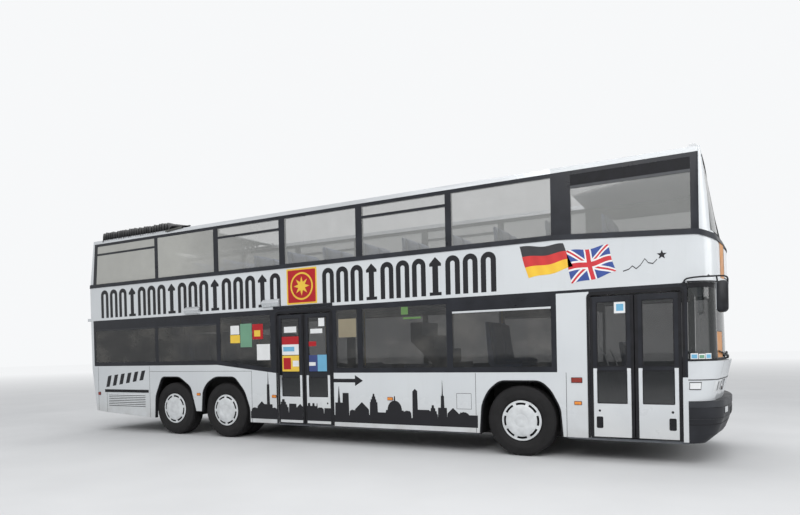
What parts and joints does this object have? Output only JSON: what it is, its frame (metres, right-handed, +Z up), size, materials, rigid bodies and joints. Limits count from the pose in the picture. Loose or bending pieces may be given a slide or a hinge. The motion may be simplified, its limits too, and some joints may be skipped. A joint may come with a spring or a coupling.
{
  "type": "open top double decker bus",
  "caption": "Open top double decker bus with glazed sides on both decks, a folded cloth roof at the rear, inward swinging doors, steered front wheels and twin rear axles.",
  "frame": {"origin": "middle of the bounding box, on the road under the tyres", "axes": "+X forward, +Y to the left, +Z up; the doors are on the right side"},
  "size_m": [12.17, 2.86, 4.136],
  "materials": {
    "body_white": "gloss white paint",
    "frame_black": "gloss black paint",
    "door_white": "gloss white paint with black frames",
    "bumper_grey": "grained dark grey moulding",
    "moulding_rubber": "grooved dark moulding",
    "rail_grey": "pale anodised rail",
    "roof_cloth": "coated black fabric",
    "glass_tinted": "tinted safety glass",
    "glass_clear": "clear laminated glass",
    "floor_sheet": "speckled floor sheet",
    "seat_cloth": "short pile moquette",
    "seat_shell": "moulded seat shell",
    "dash_plastic": "grained dashboard moulding",
    "rail_yellow": "coated tube",
    "engine_iron": "cast block",
    "frame_paint": "chassis black",
    "mirror_black": "moulded mirror housing",
    "lamp_lens": "moulded lamp lens",
    "tyre_rubber": "road tyre",
    "rim_silver": "silver painted wheel with slotted trim"
  },
  "bodies": {
    "coach": {"underframe": "frame_paint", "lower_floor": "floor_sheet", "skirts": "body_white", "lower_frames": "frame_black", "rear_wall_lower": "body_white", "rear_wall_upper": "body_white", "front_panel": "body_white", "front_bumper": "bumper_grey", "front_band": "body_white", "front_roof": "body_white", "upper_floor": "floor_sheet", "upper_bands": "body_white", "upper_frames": "frame_black", "belt_mouldings": "moulding_rubber", "roof_rails": "rail_grey", "folded_roof": "roof_cloth", "side_glass": "glass_tinted", "windscreens": "glass_clear", "rear_panes": "glass_tinted", "stairs": "floor_sheet", "lower_seats": "seat_cloth", "upper_seats": "seat_shell", "dashboard": "dash_plastic", "partition": "dash_plastic", "handrails": "rail_yellow", "engine": "engine_iron", "axles": "frame_paint", "mirrors": "mirror_black", "lamps": "lamp_lens"},
    "knuckle_left": {"knuckle_left": "frame_paint"},
    "knuckle_right": {"knuckle_right": "frame_paint"},
    "flap": {"engine_flap": "body_white"},
    "wheel_front_left": {"tyre_front_left": "tyre_rubber", "rim_front_left": "rim_silver"},
    "wheel_front_right": {"tyre_front_right": "tyre_rubber", "rim_front_right": "rim_silver"},
    "wheel_drive_left": {"tyre_drive_left": "tyre_rubber", "rim_drive_left": "rim_silver"},
    "wheel_drive_right": {"tyre_drive_right": "tyre_rubber", "rim_drive_right": "rim_silver"},
    "wheel_tag_left": {"tyre_tag_left": "tyre_rubber", "rim_tag_left": "rim_silver"},
    "wheel_tag_right": {"tyre_tag_right": "tyre_rubber", "rim_tag_right": "rim_silver"},
    "door_front_rear_arms": {"door_front_rear_arms": "frame_paint"},
    "door_front_rear_leaf": {"door_front_rear_leaf": "door_white"},
    "door_front_fore_arms": {"door_front_fore_arms": "frame_paint"},
    "door_front_fore_leaf": {"door_front_fore_leaf": "door_white"},
    "door_mid_rear_arms": {"door_mid_rear_arms": "frame_paint"},
    "door_mid_rear_leaf": {"door_mid_rear_leaf": "door_white"},
    "door_mid_fore_arms": {"door_mid_fore_arms": "frame_paint"},
    "door_mid_fore_leaf": {"door_mid_fore_leaf": "door_white"}
  },
  "joints": [
    {"name": "steer_left", "type": "hinge", "parent": "coach", "child": "knuckle_left", "pos_m": [3.445, 0.93, 0.504], "axis": [0, 0, 1], "range_deg": [-45, 45]},
    {"name": "steer_right", "type": "hinge", "parent": "coach", "child": "knuckle_right", "pos_m": [3.445, -0.93, 0.504], "axis": [0, 0, 1], "range_deg": [-45, 45]},
    {"name": "spin_front_left", "type": "hinge", "parent": "knuckle_left", "child": "wheel_front_left", "pos_m": [3.445, 1.075, 0.504], "axis": [0, 1, 0], "continuous": true},
    {"name": "spin_front_right", "type": "hinge", "parent": "knuckle_right", "child": "wheel_front_right", "pos_m": [3.445, -1.075, 0.504], "axis": [0, 1, 0], "continuous": true},
    {"name": "spin_drive_left", "type": "hinge", "parent": "coach", "child": "wheel_drive_left", "pos_m": [-2.145, 1.075, 0.504], "axis": [0, 1, 0], "continuous": true},
    {"name": "spin_drive_right", "type": "hinge", "parent": "coach", "child": "wheel_drive_right", "pos_m": [-2.145, -1.075, 0.504], "axis": [0, 1, 0], "continuous": true},
    {"name": "spin_tag_left", "type": "hinge", "parent": "coach", "child": "wheel_tag_left", "pos_m": [-3.477, 1.075, 0.504], "axis": [0, 1, 0], "continuous": true},
    {"name": "spin_tag_right", "type": "hinge", "parent": "coach", "child": "wheel_tag_right", "pos_m": [-3.477, -1.075, 0.504], "axis": [0, 1, 0], "continuous": true},
    {"name": "door_front_rear_post", "type": "hinge", "parent": "coach", "child": "door_front_rear_arms", "pos_m": [4.3803, -1.17, 1.25], "axis": [0, 0, 1], "range_deg": [0, 90]},
    {"name": "door_front_rear_pivot", "type": "hinge", "parent": "door_front_rear_arms", "child": "door_front_rear_leaf", "pos_m": [4.644, -1.228, 1.25], "axis": [0, 0, -1], "range_deg": [0, 180]},
    {"name": "door_front_fore_post", "type": "hinge", "parent": "coach", "child": "door_front_fore_arms", "pos_m": [5.5517, -1.17, 1.25], "axis": [0, 0, -1], "range_deg": [0, 90]},
    {"name": "door_front_fore_pivot", "type": "hinge", "parent": "door_front_fore_arms", "child": "door_front_fore_leaf", "pos_m": [5.288, -1.228, 1.25], "axis": [0, 0, 1], "range_deg": [0, 180]},
    {"name": "door_mid_rear_post", "type": "hinge", "parent": "coach", "child": "door_mid_rear_arms", "pos_m": [-0.9067, -1.17, 1.25], "axis": [0, 0, 1], "range_deg": [0, 90]},
    {"name": "door_mid_rear_pivot", "type": "hinge", "parent": "door_mid_rear_arms", "child": "door_mid_rear_leaf", "pos_m": [-0.643, -1.228, 1.25], "axis": [0, 0, -1], "range_deg": [0, 180]},
    {"name": "door_mid_fore_post", "type": "hinge", "parent": "coach", "child": "door_mid_fore_arms", "pos_m": [0.2817, -1.17, 1.25], "axis": [0, 0, -1], "range_deg": [0, 90]},
    {"name": "door_mid_fore_pivot", "type": "hinge", "parent": "door_mid_fore_arms", "child": "door_mid_fore_leaf", "pos_m": [0.018, -1.228, 1.25], "axis": [0, 0, 1], "range_deg": [0, 180]},
    {"name": "flap_hinge", "type": "hinge", "parent": "coach", "child": "flap", "pos_m": [-5.935, 0, 1.326], "axis": [0, 1, 0], "range_deg": [0, 75]}
  ],
  "couplings": [
    {"joint": "steer_right", "follows": "steer_left", "ratio": 1},
    {"joint": "door_front_rear_pivot", "follows": "door_front_rear_post", "ratio": 2},
    {"joint": "door_front_fore_pivot", "follows": "door_front_fore_post", "ratio": 2},
    {"joint": "door_mid_rear_pivot", "follows": "door_mid_rear_post", "ratio": 2},
    {"joint": "door_mid_fore_pivot", "follows": "door_mid_fore_post", "ratio": 2}
  ]
}
